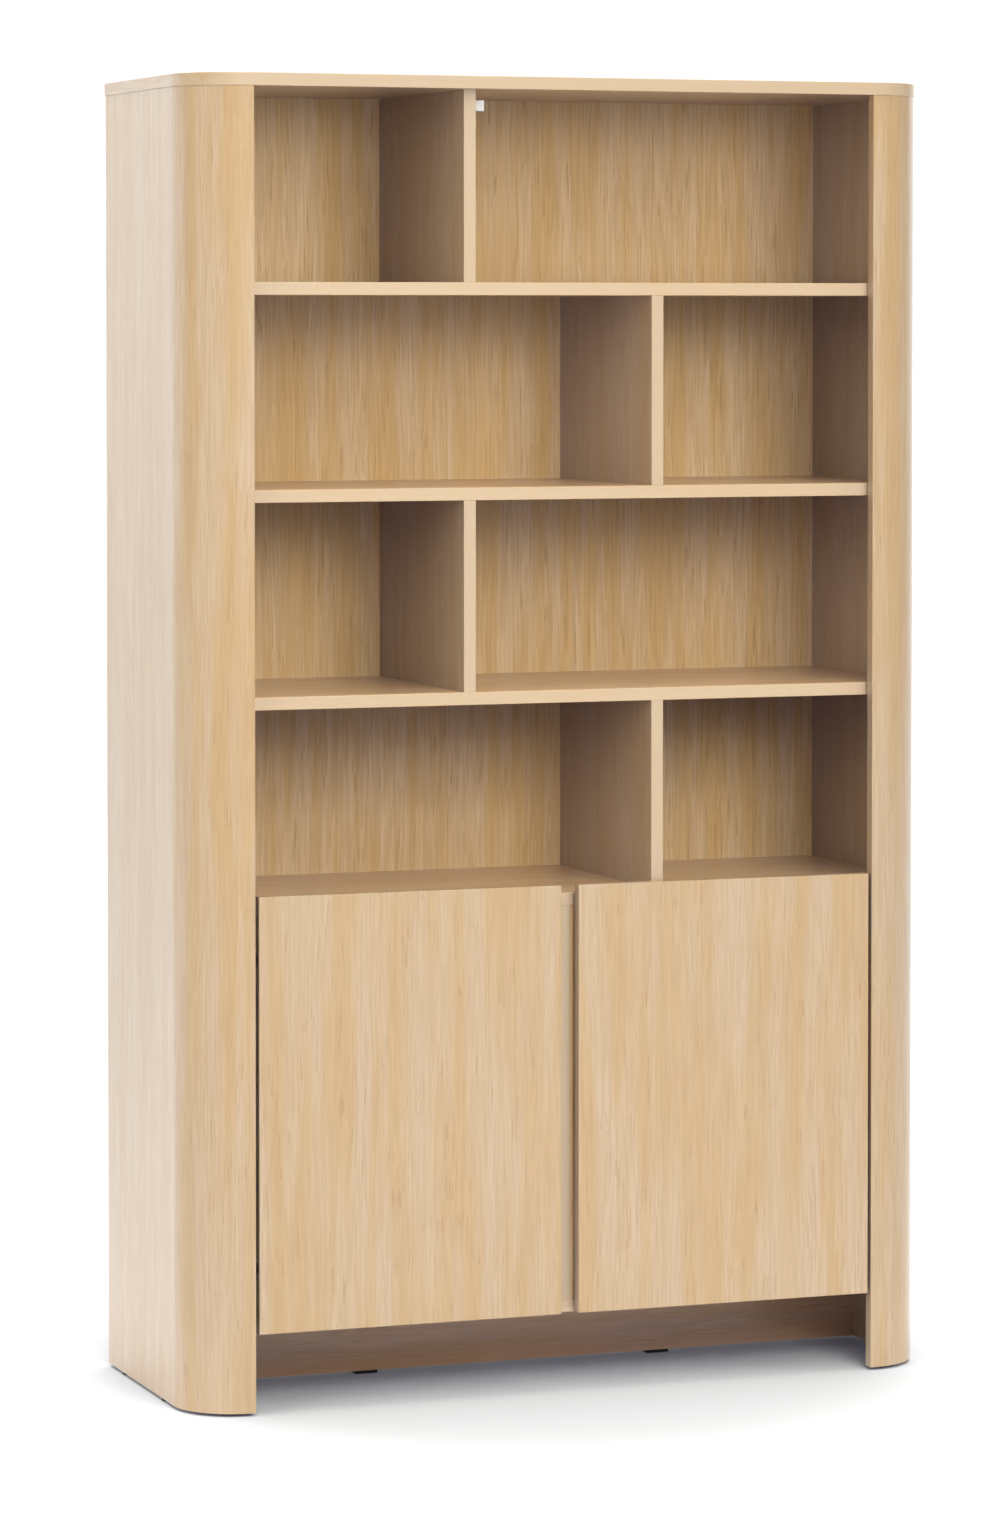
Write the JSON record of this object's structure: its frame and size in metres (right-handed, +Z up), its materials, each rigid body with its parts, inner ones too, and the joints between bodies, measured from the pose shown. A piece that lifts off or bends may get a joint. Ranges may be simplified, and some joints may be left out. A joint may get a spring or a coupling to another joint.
{
  "type": "bookcase with cabinet doors",
  "caption": "Tall oak bookcase with rounded front posts, staggered open compartments and a two-door cabinet below, standing on a set-back base rail and small glides.",
  "frame": {"origin": "on the floor under the middle of the whole box", "axes": "+Z up, +X to the right seen from the front, +Y from the doors to the back"},
  "size_m": [1.115, 0.4144, 1.85],
  "materials": {
    "oak_upright": "satin oak, upright grain",
    "oak_level": "satin oak, grain along the board",
    "oak_back": "satin oak, upright grain",
    "oak_door": "satin oak, upright grain",
    "beech_dowel": "raw beech",
    "black_plastic": "matt moulded",
    "white_plastic": "satin moulded",
    "nickel_steel": "nickel plated, satin",
    "zinc_screw": "zinc plated",
    "clear_rubber": "clear soft"
  },
  "bodies": {
    "carcass": {"left_side_shell": "oak_upright", "right_side_shell": "oak_upright", "row_1_divider": "oak_upright", "row_2_divider": "oak_upright", "row_3_divider": "oak_upright", "row_4_divider": "oak_upright", "centre_partition": "oak_upright", "left_hinge_panel": "oak_upright", "right_hinge_panel": "oak_upright", "left_gap_strip": "oak_upright", "right_gap_strip": "oak_upright", "top_panel": "oak_level", "upper_shelf": "oak_level", "middle_shelf": "oak_level", "lower_shelf": "oak_level", "cabinet_top": "oak_level", "cabinet_bottom": "oak_level", "base_rail": "oak_level", "left_cabinet_shelf": "oak_level", "right_cabinet_shelf": "oak_level", "back_panel": "oak_back", "shelf_dowels": "beech_dowel", "divider_dowels": "beech_dowel", "cabinet_dowels": "beech_dowel", "top_dowels": "beech_dowel", "base_rail_dowels": "beech_dowel", "back_panel_screws": "zinc_screw", "shelf_pins": "nickel_steel", "side_glides": "black_plastic", "rail_glides": "black_plastic", "fixing_block": "white_plastic", "fixing_block_screw": "zinc_screw", "left_plate_screws": "zinc_screw", "left_arm_screws": "zinc_screw", "left_upper_hinge_arm": "nickel_steel", "left_upper_hinge_plate": "nickel_steel", "left_lower_hinge_arm": "nickel_steel", "left_lower_hinge_plate": "nickel_steel", "right_plate_screws": "zinc_screw", "right_arm_screws": "zinc_screw", "right_upper_hinge_arm": "nickel_steel", "right_upper_hinge_plate": "nickel_steel", "right_lower_hinge_arm": "nickel_steel", "right_lower_hinge_plate": "nickel_steel"},
    "left_door": {"left_door": "oak_door", "left_door_bumpers": "clear_rubber", "left_cup_screws": "zinc_screw", "left_upper_hinge_cup": "nickel_steel", "left_upper_hinge_pin": "nickel_steel", "left_lower_hinge_cup": "nickel_steel", "left_lower_hinge_pin": "nickel_steel"},
    "right_door": {"right_door": "oak_door", "right_door_bumpers": "clear_rubber", "right_cup_screws": "zinc_screw", "right_upper_hinge_cup": "nickel_steel", "right_upper_hinge_pin": "nickel_steel", "right_lower_hinge_cup": "nickel_steel", "right_lower_hinge_pin": "nickel_steel"}
  },
  "joints": [
    {"name": "left_door_hinge", "type": "hinge", "parent": "carcass", "child": "left_door", "pos_m": [-0.449, -0.19625, 0.415], "axis": [0, 0, -1], "range_deg": [0, 105]},
    {"name": "right_door_hinge", "type": "hinge", "parent": "carcass", "child": "right_door", "pos_m": [0.449, -0.19625, 0.415], "axis": [0, 0, 1], "range_deg": [0, 105]}
  ]
}
